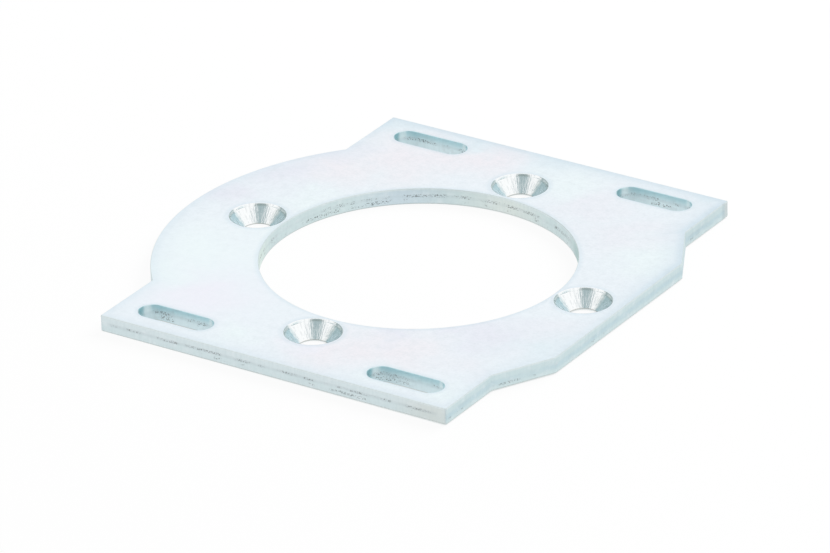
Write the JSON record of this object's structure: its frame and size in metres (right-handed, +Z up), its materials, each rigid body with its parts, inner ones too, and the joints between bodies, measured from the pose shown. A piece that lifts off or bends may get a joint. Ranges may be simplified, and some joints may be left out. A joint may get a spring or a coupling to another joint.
{
  "type": "gearbox flange bracket",
  "caption": "Flat zinc plated steel plate with a large locating bore, countersunk screw holes around it and slots at both ends, for fixing a gearbox flange to a frame.",
  "frame": {"origin": "axis of the large bore, on the plate's underside", "axes": "+X along the slots towards the tapered ear, +Y along the plate's long side, +Z up through the plate to the countersunk face"},
  "size_m": [0.15, 0.16, 0.005],
  "materials": {
    "zinc_plated_steel": "pale blue passivated zinc plating, semi-matt, with faint iridescent clouding"
  },
  "bodies": {
    "root": {"flange_plate": "zinc_plated_steel"}
  },
  "joints": []
}
